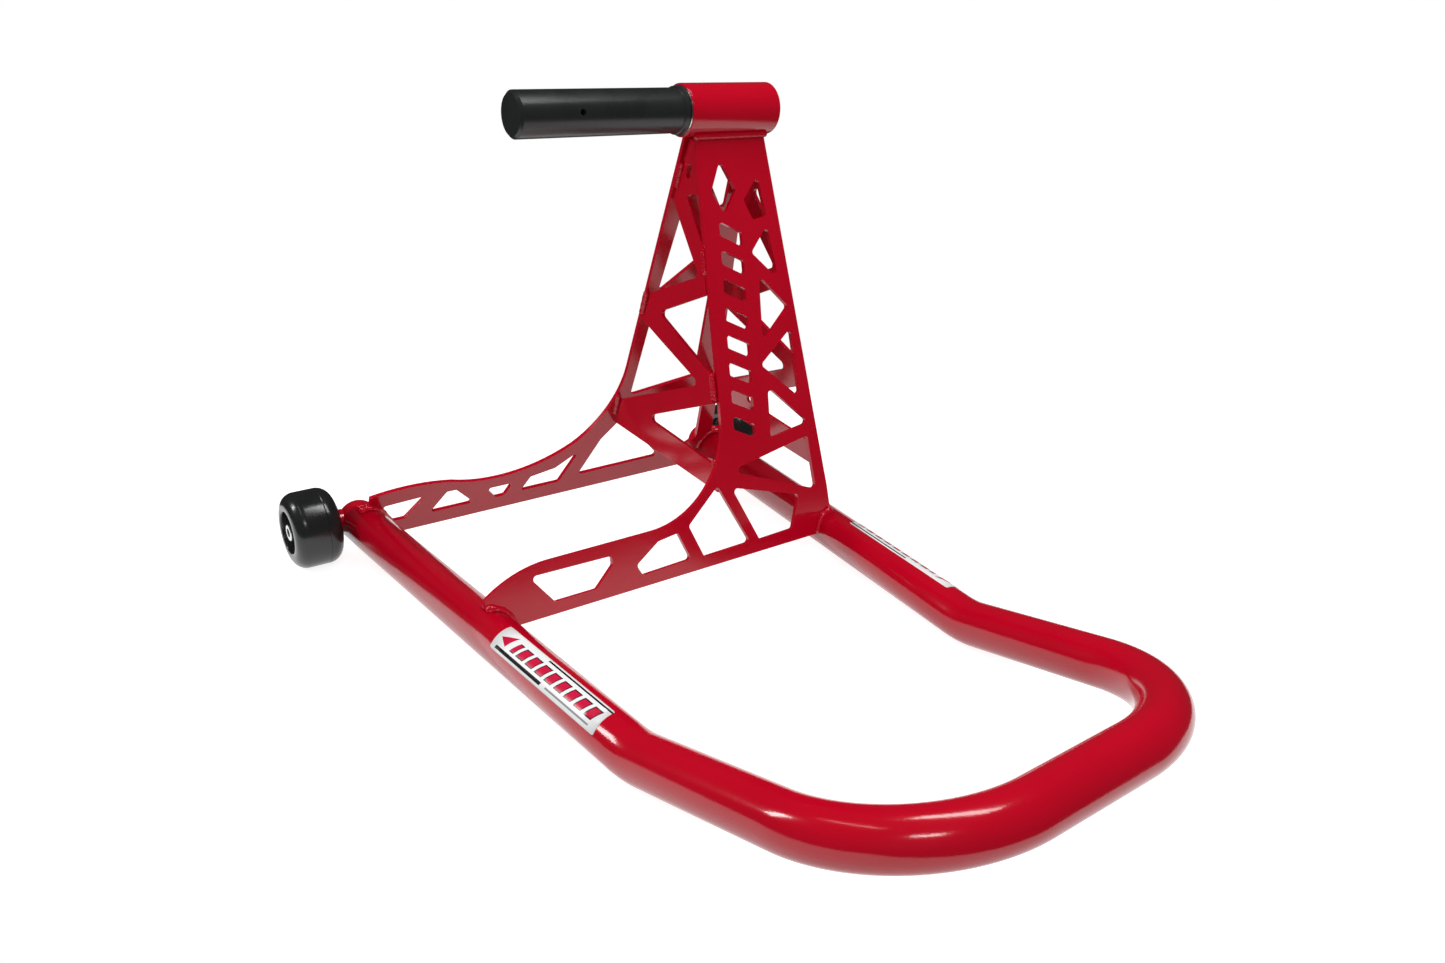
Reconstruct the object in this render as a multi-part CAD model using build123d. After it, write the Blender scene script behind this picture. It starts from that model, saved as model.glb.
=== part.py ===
from build123d import *
import os
from math import asin, atan, atan2, cos, degrees, hypot, pi, radians, sin, tan

# Rear paddock stand for a single-sided swingarm, in millimetres.
# X runs from the wheels towards the handle, +Y towards the boss side, +Z up.
# Every piece is first modelled in the arm frame: the axes of both arms lie in z = 0, and x = 0 is
# 42 mm ahead of the wheels' axis. The whole stand is then tipped a little so that it rests on its
# two wheels and on the underside of the two bends in the tube.

# ---- driving dimensions -------------------------------------------------------------------
tube_radius = 19.0            # 38 mm tube
tube_wall = 2.6
plug_head_length = 18.0
plug_head_fillet = 9.5
plug_spigot_length = 22.0
arm_half_gap = 196.1          # arm axis to the middle plane, at x = 0
arm_splay = 4.64              # degrees that each arm leans inwards, towards the handle
arm_start_x = -34.0           # where the tube is cut off behind the rear plate
kick_x = 391.0                # corner of the upward bend in each arm
kick_angle = 16.6             # degrees
kick_bend_radius = 90.0
handle_reach = 239.3          # from the upward bend to the axis of the cross bar, along the slope
handle_corner_radius = 107.0

plate_thickness = 4.0
front_plate_x = 202.0         # outer face of the front web plate at the arm axes
rear_plate_x = -27.0          # inner face of the rear web plate at the arm axes
rear_foot_bottom = -18.5      # the rear plate hangs down almost to the arms' undersides
plate_top_x = 97.0            # x of the boss axis
plate_top_z = 378.7           # height of the boss axis over the arm axes
plate_top_offset = 10.0       # each plate meets the boss this far from its axis
lattice_thickness = 3.5
hole_fillet = 3.2
slot_fillet = 2.6
small_hole_fillet = 2.4
front_foot_length = 180.0     # from the middle plane to each plate's right-hand corner
rear_foot_length = 196.0

boss_radius = 21.7
boss_bore_radius = 19.3
boss_start_y = 54.0
boss_end_y = 145.5
boss_rim_fillet = 1.0
sleeve_flange_radius = 20.4
sleeve_flange_thickness = 1.2
pin_radius = 18.2
pin_collar_radius = 19.5
pin_tip_y = -101.2
pin_end_y = 128.0
pin_clearance = 0.05
pin_tip_chamfer = 2.3
pin_collar_length = 5.0
pin_collar_chamfer = 1.0
pin_collar_gap = 0.3
pin_screw_radius = 6.0        # M12
pin_screw_half_flats = 9.5
pin_screw_head_length = 7.5
pin_washer_radius = 18.7
pin_washer_thickness = 3.0
pin_washer_gap = 0.4
clip_hole_y = -48.0
clip_hole_turn = 9.0          # degrees above the arms' plane
clip_hole_radius = 2.5

axle_x = -42.0
axle_z = 2.5
wheel_radius = 35.4
wheel_width = 42.6
wheel_middle_y = 243.0
wheel_edge_radius = 12.0
recess_radius = 19.5
outer_recess_depth = 12.0
inner_recess_depth = 8.0
web_bore_radius = 8.5
bearing_outer_radius = 13.0
bearing_bore_radius = 5.0
bearing_width = 8.0
ball_radius = 2.35
ball_pitch_radius = 9.05
ball_count = 7
race_gap = 0.08
outer_race_inner_radius = 10.5
inner_race_outer_radius = 7.6
shield_inner_radius = 7.8
shield_thickness = 0.7
shield_inset = 0.2
axle_radius = 5.0             # M10 socket head screw
axle_screw_head_radius = 8.0
axle_screw_head_length = 9.6
axle_screw_half_flats = 4.0
axle_washer_radius = 9.5
axle_washer_thickness = 1.5
axle_collar_radius = 11.0
axle_collar_face_y = 221.0
inner_spacer_radius = 7.4
middle_spacer_radius = 7.0

label_start_x = 228.0
label_length = 136.0
label_thickness = 0.25
label_inboard_turn = -6.0     # degrees from the top of the arm
label_outboard_turn = 65.0

# ---- frames and small helpers -------------------------------------------------------------
splay = radians(arm_splay)
kick = radians(kick_angle)
plate_rise = plate_top_z - boss_radius * cos(asin(plate_top_offset / boss_radius))
front_lean = atan((front_plate_x - plate_top_x - plate_top_offset) / plate_rise)
rear_lean = atan((plate_top_x - plate_top_offset - rear_plate_x) / plate_rise)
front_normal = (cos(front_lean), 0, sin(front_lean))
rear_normal = (cos(rear_lean), 0, -sin(rear_lean))
front_plane = Plane(origin=(front_plate_x, 0, 0), x_dir=(0, 1, 0), z_dir=front_normal)
rear_plane = Plane(origin=(rear_plate_x, 0, 0), x_dir=(0, 1, 0), z_dir=rear_normal)
sides = {"left": -1, "right": 1}


def arm_y(x):
    """Distance of an arm's axis from the middle plane at x."""
    return arm_half_gap - x * tan(splay)


def arm_plane(side, x):
    """Plane square to one arm at x, its normal pointing towards the handle."""
    forwards = (cos(splay), -side * sin(splay), 0)
    return Plane(origin=(x, side * arm_y(x), 0), x_dir=(0, 0, 1), z_dir=forwards)


def rod(plane, radius, length):
    """Solid cylinder that grows from a plane along its normal."""
    return extrude(plane * Circle(radius), length)


def along_y(x, z, start_y, end_y, radius):
    """Solid cylinder parallel to Y between two stations."""
    reach = end_y - start_y
    direction = 1 if reach > 0 else -1
    return rod(Plane(origin=(x, start_y, z), z_dir=(0, direction, 0)), radius, abs(reach))


def tube_y(x, z, start_y, end_y, outer, inner):
    """Hollow cylinder parallel to Y."""
    return along_y(x, z, start_y, end_y, outer) - along_y(x, z, start_y, end_y, inner)


def window(points, radius=hole_fillet):
    """Closed polygon with rounded corners."""
    face = make_face(Polyline(*points, close=True))
    return fillet(face.vertices(), radius)


def mirror_y(shape):
    """The same piece on the other side of the middle plane."""
    return mirror(shape, about=Plane.XZ)


axle_screw_end_y = arm_y(axle_x) - 12.0   # where the axle screw ends, inside the plug


# ---- bent tube ----------------------------------------------------------------------------
def tube_path():
    """Centre line of the tube: two arms, two upward bends and the handle bow."""
    start = (arm_start_x, arm_y(arm_start_x), 0)
    bend = (kick_x, arm_y(kick_x), 0)
    corner = (
        kick_x + handle_reach * cos(kick),
        arm_y(kick_x) - handle_reach * tan(splay),
        handle_reach * sin(kick),
    )
    right = [Vector(*start), Vector(*bend), Vector(*corner)]
    left = [Vector(point.X, -point.Y, point.Z) for point in reversed(right)]
    radii = [kick_bend_radius, handle_corner_radius, handle_corner_radius, kick_bend_radius]
    return FilletPolyline(*right, *left, radius=radii)


def swept_tube(radius):
    """Solid of one radius along the tube's centre line."""
    path = tube_path()
    profile = Plane(origin=path @ 0, z_dir=path % 0) * Circle(radius)
    return sweep(profile, path=path)


def axle_hole(side, radius):
    """Cutter for the axle's hole in one arm end."""
    return along_y(axle_x, axle_z, side * axle_screw_end_y, side * axle_collar_face_y, radius)


def make_end_plug(side):
    """Rounded steel plug in the end of one arm, with the threaded hole for the axle screw."""
    base = arm_plane(side, arm_start_x)
    outwards = Plane(origin=base.origin, x_dir=(0, 0, 1), z_dir=-base.z_dir)
    head = rod(outwards, tube_radius, plug_head_length)
    head = fillet(head.edges().group_by(Axis.X)[0], plug_head_fillet)
    spigot = rod(base, tube_radius - tube_wall, plug_spigot_length)
    return head + spigot - axle_hole(side, axle_radius)


def make_axle_collar(side):
    """Short welded collar that carries the axle screw out past the arm's curved wall."""
    start_y = side * arm_y(axle_x)
    end_y = side * axle_collar_face_y
    collar = tube_y(axle_x, axle_z, start_y, end_y, axle_collar_radius, axle_radius)
    arm_solid = rod(arm_plane(side, arm_start_x - 30), tube_radius, 80)
    return collar - arm_solid


# ---- web plates ---------------------------------------------------------------------------
def plate_outline(tower_edges, foot_edges, base, bottom=0.0):
    """Outer shape of a web plate in (y, height along the plate).

    tower_edges are the (top, bottom) points of the tower's left and right sides. foot_edges are
    pairs for the arcs that lead from the tower's left side along the top of the long foot. base
    is the right-hand corner's y and bottom the height of the lower edge.
    """
    (top_left, tower_left), (top_right, tower_right) = tower_edges
    foot_end = foot_edges[-1][-1]
    edges = [
        Line(tower_left, top_left),
        Line(top_left, top_right),
        Line(top_right, tower_right),
        Line(tower_right, (base, bottom)),
        Line((base, bottom), (foot_end[0], bottom)),
        Line((foot_end[0], bottom), foot_end),
    ]
    start = tower_left
    for points in foot_edges:
        edges.append(ThreePointArc(start, *points) if len(points) == 2 else Line(start, *points))
        start = points[-1]
    return make_face(Wire(edges))


def make_plate(plane, outline, windows):
    """Laser-cut plate: outline less its windows, coped to the boss and to both arms."""
    sketch = outline
    for opening in windows:
        sketch = sketch - opening
    blank = extrude(plane * sketch, -plate_thickness)
    return blank - cope_tools()


def cope_tools():
    """Solid boss and arms, which the plates are cut to."""
    tools = along_y(plate_top_x, plate_top_z, boss_start_y - 30, boss_end_y + 30, boss_radius)
    for side in sides.values():
        tools = tools + rod(arm_plane(side, -40), tube_radius, 300)
    return tools


def slot_column(low, high, count, middle_low, middle_high, width, rise, slant):
    """Column of equal slanted slots up the middle of the front plate."""
    slots = []
    half = width / 2
    drop = half * slant
    for number in range(count):
        share = number / (count - 1)
        centre_y = middle_low + (middle_high - middle_low) * share
        centre_h = low + (high - low) * share
        points = [
            (centre_y - half, centre_h + drop - rise / 2),
            (centre_y + half, centre_h - drop - rise / 2),
            (centre_y + half, centre_h - drop + rise / 2),
            (centre_y - half, centre_h + drop + rise / 2),
        ]
        slots.append(window(points, slot_fillet))
    return slots


def front_outline():
    """Tower, one concave arc, the level foot and its rounded end."""
    tower = (((64, 378), (61, 130.2)), ((136, 378), (177, 44)))
    foot = (
        ((36.4, 70.8), (-23, 46.2)),
        ((-124, 46.2),),
        ((-156, 40.6), (-182, 28)),
    )
    return plate_outline(tower, foot, base=front_foot_length)


def make_front_plate():
    """Front web plate, with the slot column and the triangular windows."""
    windows = slot_column(118, 288, 8, 86, 91.5, 23.5, 12.5, 0.5)
    windows += [
        window([(87, 351), (75, 325), (87, 305), (101, 325)]),
        window([(126, 336), (108.5, 316), (117, 298.5), (132.5, 301)]),
        window([(132, 293), (112, 270.5), (140, 244)]),
        window([(118, 250), (115.5, 190), (148, 219)]),
        window([(148.5, 199), (111, 170.5), (153, 134)]),
        window([(116.5, 150), (114.5, 102.5), (161, 109)]),
        window([(158, 97), (66, 81), (163, 44)]),
        window([(65, 66), (91, 11), (130.5, 12), (141.5, 43)]),
        window([(50, 71), (15, 42), (28, 10.5), (80, 11.5)]),
        window([(3, 38.5), (-18, 36), (-42, 20.5), (-37, 10.5), (14, 12)]),
        window([(-65, 35), (-142, 36.5), (-122, 10.5), (-83, 10.5), (-65, 27)]),
    ]
    return make_plate(front_plane, front_outline(), windows)


def rear_outline():
    """Tower, a wide concave sweep that dips at the foot's waist, and the rounded foot."""
    tower = (((69.5, 385), (61.5, 132.5)), ((138, 385), (191, 44)))
    foot = (
        ((49, 85), (14, 45.5)),
        ((-29.5, 27.5), (-69.5, 23)),
        ((-92.5, 25), (-114, 30.5)),
        ((-155.5, 35), (-194.5, 31.5)),
    )
    return plate_outline(tower, foot, rear_foot_length, rear_foot_bottom)


def make_rear_plate():
    """Rear web plate, a little wider at the base than the front one."""
    windows = [
        window([(93.5, 348), (129, 346), (132, 294)]),
        window([(85, 317), (77, 215), (127, 256)]),
        window([(76.5, 192.5), (71.5, 95.5), (150, 106), (138, 244)], 5),
        window([(67.5, 67.5), (47, 44.5), (26.5, 2), (127, 3)]),
        window([(91, 75), (168, 82), (174, 18), (148, 2)]),
        window([(24, 35), (-2, 18.5), (-29, 14), (-38.5, -2), (5, -2)], 2.0),
        window([(-76.5, 11), (-48.5, 11), (-56, -3), (-65.5, -3)], small_hole_fillet),
        window([(-135, -3), (-119, 19), (-109.5, 19), (-89, -3)], small_hole_fillet),
        window([(-183, 18), (-139.5, 20), (-159.5, -3), (-170, -3)], small_hole_fillet),
    ]
    return make_plate(rear_plane, rear_outline(), windows)


# ---- side lattices ------------------------------------------------------------------------
lattice_low = 60.0
lattice_high = 358.0
lattice_cut_high = 354.0
lattice_foot = ((0.0, 61.5), (171.0, 62.5))   # lower edge, rear to front, in (x, z)
rear_slope = tan(rear_lean)
front_slope = tan(front_lean)
front_inner_x = front_plate_x - plate_thickness / cos(front_lean)


def rear_face_x(z):
    """X of the rear plate's inner face at z."""
    return rear_plate_x + z * rear_slope


def front_face_x(z):
    """X of the front plate's inner face at z."""
    return front_inner_x - z * front_slope


def lattice_windows():
    """Windows of the zigzag in (x, z); the points beyond a plate leave that side open."""
    over = 12.0
    return [
        window([(89.5, 308.5), (front_face_x(312) + over, 312), (front_face_x(258) + over, 254)], 4),
        window([(rear_face_x(302) - over, 311.5), (123.5, 243), (rear_face_x(206) - over, 201)], 4),
        window([(60.5, 194.5), (front_face_x(230) + over, 235), (front_face_x(163) + over, 158)], 4),
        window([(rear_face_x(186) - over, 184), (140, 149), (rear_face_x(90) - over, 84)], 4),
        window([(51.5, 88.5), (front_face_x(140) + over, 143), (front_face_x(84) + over, 83)], 4),
        Pos(92, 327.5) * SlotOverall(13, 8, rotation=75),
    ]


def make_lattice(rear_low, rear_high, front_low, front_high, inwards):
    """Zigzag side plate between the two webs, a ruled sheet cut through along Y.

    The four values are the y of its outer face at the rear and front plates, at the low and the
    high station; inwards is the direction of its thickness.
    """
    depth = inwards * lattice_thickness

    def end_face(face_x, low, high):
        """End of the sheet, against one plate."""
        corners = [
            (face_x(lattice_low), low, lattice_low),
            (face_x(lattice_low), low + depth, lattice_low),
            (face_x(lattice_high), high + depth, lattice_high),
            (face_x(lattice_high), high, lattice_high),
        ]
        return make_face(Polyline(*corners, close=True))

    rear_end = end_face(rear_face_x, rear_low, rear_high)
    front_end = end_face(front_face_x, front_low, front_high)
    sheet = loft([rear_end, front_end], ruled=True)
    band = [
        (lattice_foot[0][0] - 30, lattice_foot[0][1] + 2),
        (lattice_foot[1][0] + 30, lattice_foot[1][1] - 2),
        (front_face_x(lattice_cut_high) + 20, lattice_cut_high),
        (rear_face_x(lattice_cut_high) - 20, lattice_cut_high),
    ]
    pattern = make_face(Polyline(*band, close=True))
    for opening in lattice_windows():
        pattern = pattern - opening
    look_plane = Plane(origin=(0, 260, 0), x_dir=(1, 0, 0), z_dir=(0, -1, 0))
    return sheet & extrude(look_plane * pattern, 300)


# ---- boss, sleeve and lift pin ------------------------------------------------------------
pin_screw_tip_y = pin_end_y - 25.0


def on_pin_axis(start_y, end_y, radius):
    """Solid cylinder on the boss axis."""
    return along_y(plate_top_x, plate_top_z, start_y, end_y, radius)


def ring_on_pin_axis(start_y, end_y, outer, inner):
    """Hollow cylinder on the boss axis."""
    return tube_y(plate_top_x, plate_top_z, start_y, end_y, outer, inner)


def make_boss():
    """Boss tube on top of the tower, open at both ends, its rims slightly rounded."""
    boss = ring_on_pin_axis(boss_start_y, boss_end_y, boss_radius, boss_bore_radius)
    rims = boss.edges().filter_by(GeomType.CIRCLE).sort_by(SortBy.RADIUS)[-2:]
    return fillet(rims, boss_rim_fillet)


def make_sleeve():
    """Thin flanged steel sleeve, pressed into the boss, in which the pin turns."""
    bore = pin_radius + pin_clearance
    flange_face = boss_start_y - sleeve_flange_thickness
    sleeve = ring_on_pin_axis(boss_start_y, pin_end_y, boss_bore_radius, bore)
    flange = ring_on_pin_axis(flange_face, boss_start_y, sleeve_flange_radius, bore)
    return sleeve + flange


def make_lift_pin():
    """Lift pin: long journal, collar against the sleeve, bevelled tip, cross hole for a clip."""
    collar_face = boss_start_y - sleeve_flange_thickness - pin_collar_gap
    journal = on_pin_axis(pin_tip_y, pin_end_y + pin_washer_gap, pin_radius)
    journal = chamfer(journal.edges().group_by(Axis.Y)[0], pin_tip_chamfer)
    collar = on_pin_axis(collar_face - pin_collar_length, collar_face, pin_collar_radius)
    collar = chamfer(collar.edges().group_by(Axis.Y)[0], pin_collar_chamfer)
    turn = radians(clip_hole_turn)
    hole_centre = (plate_top_x, clip_hole_y, plate_top_z)
    hole_plane = Plane(origin=hole_centre, z_dir=(cos(turn), 0, sin(turn)))
    clip_hole = rod(hole_plane.offset(-30), clip_hole_radius, 60)
    screw_hole = on_pin_axis(pin_screw_tip_y - 1.0, pin_end_y + 5, pin_screw_radius)
    return journal + collar - clip_hole - screw_hole


def make_pin_washer():
    """Thick washer that holds the pin in its sleeve."""
    start = pin_end_y + pin_washer_gap
    return ring_on_pin_axis(start, start + pin_washer_thickness, pin_washer_radius, pin_screw_radius)


def make_pin_screw():
    """M12 hexagon screw in the inner end of the pin."""
    start = pin_end_y + pin_washer_gap + pin_washer_thickness
    head_plane = Plane(origin=(plate_top_x, start, plate_top_z), z_dir=(0, 1, 0))
    hexagon = RegularPolygon(pin_screw_half_flats, 6, major_radius=False)
    head = extrude(head_plane * hexagon, pin_screw_head_length)
    return head + on_pin_axis(pin_screw_tip_y, start, pin_screw_radius)


# ---- wheels, for the right-hand side; the left one is mirrored ----------------------------
wheel_inner_face = wheel_middle_y - wheel_width / 2
wheel_outer_face = wheel_middle_y + wheel_width / 2
inner_bearing_y = wheel_inner_face + inner_recess_depth
outer_bearing_y = wheel_outer_face - outer_recess_depth - bearing_width
bearing_starts = (inner_bearing_y, outer_bearing_y)


def on_axle(start_y, end_y, radius):
    """Solid cylinder on the right-hand wheel's axis."""
    return along_y(axle_x, axle_z, start_y, end_y, radius)


def ring_on_axle(start_y, end_y, outer, inner):
    """Hollow cylinder on the right-hand wheel's axis."""
    return tube_y(axle_x, axle_z, start_y, end_y, outer, inner)


def make_wheel():
    """Moulded wheel with rounded shoulders, recessed hub faces and two bearing seats."""
    body = on_axle(wheel_inner_face, wheel_outer_face, wheel_radius)
    body = fillet(body.edges().filter_by(GeomType.CIRCLE), wheel_edge_radius)
    body = body - on_axle(wheel_inner_face, inner_bearing_y, recess_radius)
    body = body - on_axle(wheel_outer_face - outer_recess_depth, wheel_outer_face, recess_radius)
    for start in bearing_starts:
        body = body - on_axle(start, start + bearing_width, bearing_outer_radius)
    return body - on_axle(wheel_inner_face, wheel_outer_face, web_bore_radius)


def ball_groove(start):
    """Torus that both races of one bearing are cut with."""
    middle = Plane(origin=(axle_x, start + bearing_width / 2, axle_z), z_dir=(0, 1, 0))
    return middle * Torus(ball_pitch_radius, ball_radius + race_gap)


def make_races(outer, inner):
    """One grooved race in each of the wheel's two bearings."""
    races = []
    for start in bearing_starts:
        ring = ring_on_axle(start, start + bearing_width, outer, inner)
        races.append(ring - ball_groove(start))
    return Compound(races)


def make_outer_races():
    """Outer races, pressed into the wheel."""
    return make_races(bearing_outer_radius, outer_race_inner_radius)


def make_inner_races():
    """Inner races, clamped between the spacers."""
    return make_races(inner_race_outer_radius, bearing_bore_radius)


def make_shields():
    """Thin seal discs, two for each bearing, held in the outer races."""
    discs = []
    for start in bearing_starts:
        far_face = start + bearing_width - shield_thickness - shield_inset
        for face in (start + shield_inset, far_face):
            end = face + shield_thickness
            discs.append(ring_on_axle(face, end, outer_race_inner_radius, shield_inner_radius))
    return Compound(discs)


def make_balls():
    """Steel balls, evenly spread round both bearings."""
    balls = []
    for start in bearing_starts:
        for number in range(ball_count):
            turn = 2 * pi * number / ball_count
            place = Pos(
                axle_x + ball_pitch_radius * cos(turn),
                start + bearing_width / 2,
                axle_z + ball_pitch_radius * sin(turn),
            )
            balls.append(place * Sphere(ball_radius))
    return Compound(balls)


def make_spacers():
    """Two spacer tubes: arm collar to inner bearing, and between the bearings."""
    middle_start = inner_bearing_y + bearing_width
    inner = ring_on_axle(axle_collar_face_y, inner_bearing_y, inner_spacer_radius, axle_radius)
    middle = ring_on_axle(middle_start, outer_bearing_y, middle_spacer_radius, axle_radius)
    return Compound([inner, middle])


def make_axle_washer():
    """Washer between the outer bearing and the screw's head."""
    start = outer_bearing_y + bearing_width
    return ring_on_axle(start, start + axle_washer_thickness, axle_washer_radius, axle_radius)


def make_axle_screw():
    """M10 socket head screw that is the wheel's axle."""
    start = outer_bearing_y + bearing_width + axle_washer_thickness
    top = start + axle_screw_head_length
    head = on_axle(start, top, axle_screw_head_radius)
    head = chamfer(head.edges().group_by(Axis.Y)[-1], 0.8)
    socket_plane = Plane(origin=(axle_x, top, axle_z), z_dir=(0, -1, 0))
    hexagon = RegularPolygon(axle_screw_half_flats, 6, major_radius=False)
    socket = extrude(socket_plane * hexagon, 5.5)
    shank = on_axle(axle_screw_end_y + 1.0, start, axle_radius)
    return head + shank - socket


# ---- weld beads and labels ----------------------------------------------------------------
weld_leg = 3.2
arm_bead_height = 3.2
arm_bead_width = 4.0
lattice_bead_radius = 2.6
lattice_bead_half = 11.0


def make_boss_welds(front_plate, rear_plate):
    """Fillet beads along both plates, under the boss."""
    beads = []
    reach = plate_top_offset
    drop = cos(asin(plate_top_offset / boss_radius)) * boss_radius
    boss_solid = on_pin_axis(boss_start_y - 4, boss_end_y + 4, boss_radius)
    for direction, start_y, end_y in ((1, 63.0, 139.0), (-1, 68.0, 141.0)):
        bead_x = plate_top_x + direction * (reach + 1.6)
        bead = along_y(bead_x, plate_top_z - drop - 0.6, start_y, end_y, weld_leg)
        bead = bead - boss_solid - front_plate - rear_plate
        beads.append(bead.solids().sort_by(SortBy.VOLUME)[-1])
    return Compound(beads)


def make_arm_welds():
    """Beads where both plates stand on the arms, on each face of the plate."""
    beads = []
    for plane, outline in ((front_plane, front_outline()), (rear_plane, rear_outline())):
        plate_blank = extrude(plane * outline, -plate_thickness)
        wide_plane = plane.offset(arm_bead_width)
        wide_blank = extrude(wide_plane * outline, -plate_thickness - 2 * arm_bead_width)
        for side in sides.values():
            arm = arm_plane(side, -40)
            shell = rod(arm, tube_radius + arm_bead_height, 300) - rod(arm, tube_radius, 300)
            bead = (shell & wide_blank) - plate_blank
            beads += [solid for solid in bead.solids() if solid.volume > 60]
    return Compound(beads)


def make_lattice_welds(lattices, plates):
    """Short beads at the zigzag's nodes, along the joint with each plate."""
    beads = []
    rear_nodes = ((72, 321.5), (64.5, 197.5), (58, 83.5))
    front_nodes = ((64.5, 258), (60.5, 152), (54, 78))
    rows = ((rear_face_x, rear_nodes, rear_slope), (front_face_x, front_nodes, -front_slope))
    for face_x, nodes, slope in rows:
        axis = Vector(slope, 0, 1).normalized()
        for node_y, node_z in nodes:
            foot = Vector(face_x(node_z), node_y - 1.0, node_z) - axis * lattice_bead_half
            bead = rod(Plane(origin=foot, z_dir=axis), lattice_bead_radius, 2 * lattice_bead_half)
            for tool in lattices + plates:
                bead = bead - tool
            beads.append(bead.solids().sort_by(SortBy.VOLUME)[-1])
    return Compound(beads)


def make_label(side):
    """Thin label wrapped over the upper outer side of one arm."""
    plane = arm_plane(side, label_start_x)
    inboard = radians(label_inboard_turn)
    outboard = radians(label_outboard_turn)

    def rim(radius, turn):
        """Point of the label's cross-section at an angle from the top."""
        return (radius * cos(turn), -side * radius * sin(turn))

    middle = (inboard + outboard) / 2
    outer = tube_radius + label_thickness
    edge = [
        ThreePointArc(rim(outer, inboard), rim(outer, middle), rim(outer, outboard)),
        Line(rim(outer, outboard), rim(tube_radius, outboard)),
        ThreePointArc(rim(tube_radius, outboard), rim(tube_radius, middle), rim(tube_radius, inboard)),
        Line(rim(tube_radius, inboard), rim(outer, inboard)),
    ]
    return extrude(plane * make_face(Wire(edge)), label_length)


# ---- the stand ----------------------------------------------------------------------------
def build_parts():
    """All pieces by node name, in the arm frame."""
    parts = {}
    parts["frame_tube"] = swept_tube(tube_radius) - swept_tube(tube_radius - tube_wall)
    for name, side in sides.items():
        parts["arm_end_plug_" + name] = make_end_plug(side)
        parts["axle_collar_" + name] = make_axle_collar(side)
        parts["label_" + name] = make_label(side)
    parts["front_web_plate"] = make_front_plate()
    parts["rear_web_plate"] = make_rear_plate()
    parts["side_lattice_left"] = make_lattice(57, 73.5, 52, 68, 1)
    parts["side_lattice_right"] = make_lattice(185, 138.5, 172, 135.5, -1)
    parts["boss_tube"] = make_boss()
    parts["pin_sleeve"] = make_sleeve()
    parts["lift_pin"] = make_lift_pin()
    parts["pin_washer"] = make_pin_washer()
    parts["pin_screw"] = make_pin_screw()
    plates = [parts["front_web_plate"], parts["rear_web_plate"]]
    parts["boss_weld_beads"] = make_boss_welds(*plates)
    parts["arm_weld_beads"] = make_arm_welds()
    parts["lattice_weld_beads"] = make_lattice_welds([parts["side_lattice_left"]], plates)
    wheel_pieces = {
        "wheel": make_wheel,
        "bearing_outer_races": make_outer_races,
        "bearing_inner_races": make_inner_races,
        "bearing_shields": make_shields,
        "bearing_balls": make_balls,
        "axle_spacers": make_spacers,
        "axle_washer": make_axle_washer,
        "axle_screw": make_axle_screw,
    }
    for piece, maker in wheel_pieces.items():
        shape = maker()
        parts[piece + "_right"] = shape
        parts[piece + "_left"] = mirror_y(shape)
    return parts


def resting_tilt():
    """Angle, in degrees, that brings the wheels and the underside of the bends onto one floor."""
    bend_start = kick_x - kick_bend_radius * tan(kick / 2)
    run = bend_start - axle_x
    rise = kick_bend_radius - axle_z
    lift = kick_bend_radius + tube_radius - wheel_radius
    return degrees(atan2(rise, run) - asin(lift / hypot(run, rise)))


parts = build_parts()
settle = Rot(0, resting_tilt(), 0)
settled = {name: settle * shape for name, shape in parts.items()}
tube_box = settled["frame_tube"].bounding_box()
wheel_box = settled["wheel_right"].bounding_box()
to_origin = Pos(-(wheel_box.min.X + tube_box.max.X) / 2, 0, -wheel_box.min.Z)

os.makedirs("parts", exist_ok=True)
for name, shape in settled.items():
    export_step(to_origin * shape, "parts/" + name + ".step")

axle = to_origin * settle * Pos(axle_x, wheel_middle_y, axle_z)
pin = to_origin * settle * Pos(plate_top_x, pin_tip_y, plate_top_z)
print("tilt", resting_tilt(), "floor gap of the tube", tube_box.min.Z - wheel_box.min.Z)
print("wheel axle", axle.position)
print("pin tip", pin.position)
print("clip hole", (to_origin * settle * Pos(plate_top_x, clip_hole_y, plate_top_z)).position)
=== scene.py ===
import logging
from dataclasses import dataclass
from enum import Enum
from math import acos, asin, atan, cos, pi, radians, sin, tan
from typing import Callable, Iterable, Optional, Union

import bmesh
import bpy
from mathutils import Matrix, Vector


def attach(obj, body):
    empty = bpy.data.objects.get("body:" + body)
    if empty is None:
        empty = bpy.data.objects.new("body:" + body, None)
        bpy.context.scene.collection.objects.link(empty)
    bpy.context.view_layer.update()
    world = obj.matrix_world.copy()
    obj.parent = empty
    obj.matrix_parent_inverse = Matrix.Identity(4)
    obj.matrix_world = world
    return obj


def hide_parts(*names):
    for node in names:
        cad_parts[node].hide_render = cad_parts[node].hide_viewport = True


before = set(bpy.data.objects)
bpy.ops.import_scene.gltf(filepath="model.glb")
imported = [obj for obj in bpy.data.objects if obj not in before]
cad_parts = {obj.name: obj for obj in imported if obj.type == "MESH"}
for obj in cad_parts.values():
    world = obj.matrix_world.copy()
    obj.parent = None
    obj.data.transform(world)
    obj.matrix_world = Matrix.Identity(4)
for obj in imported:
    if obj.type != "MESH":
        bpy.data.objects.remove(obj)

logging.basicConfig(level=logging.INFO, format="%(name)s: %(message)s")
log = logging.getLogger("paddock_stand")

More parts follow.
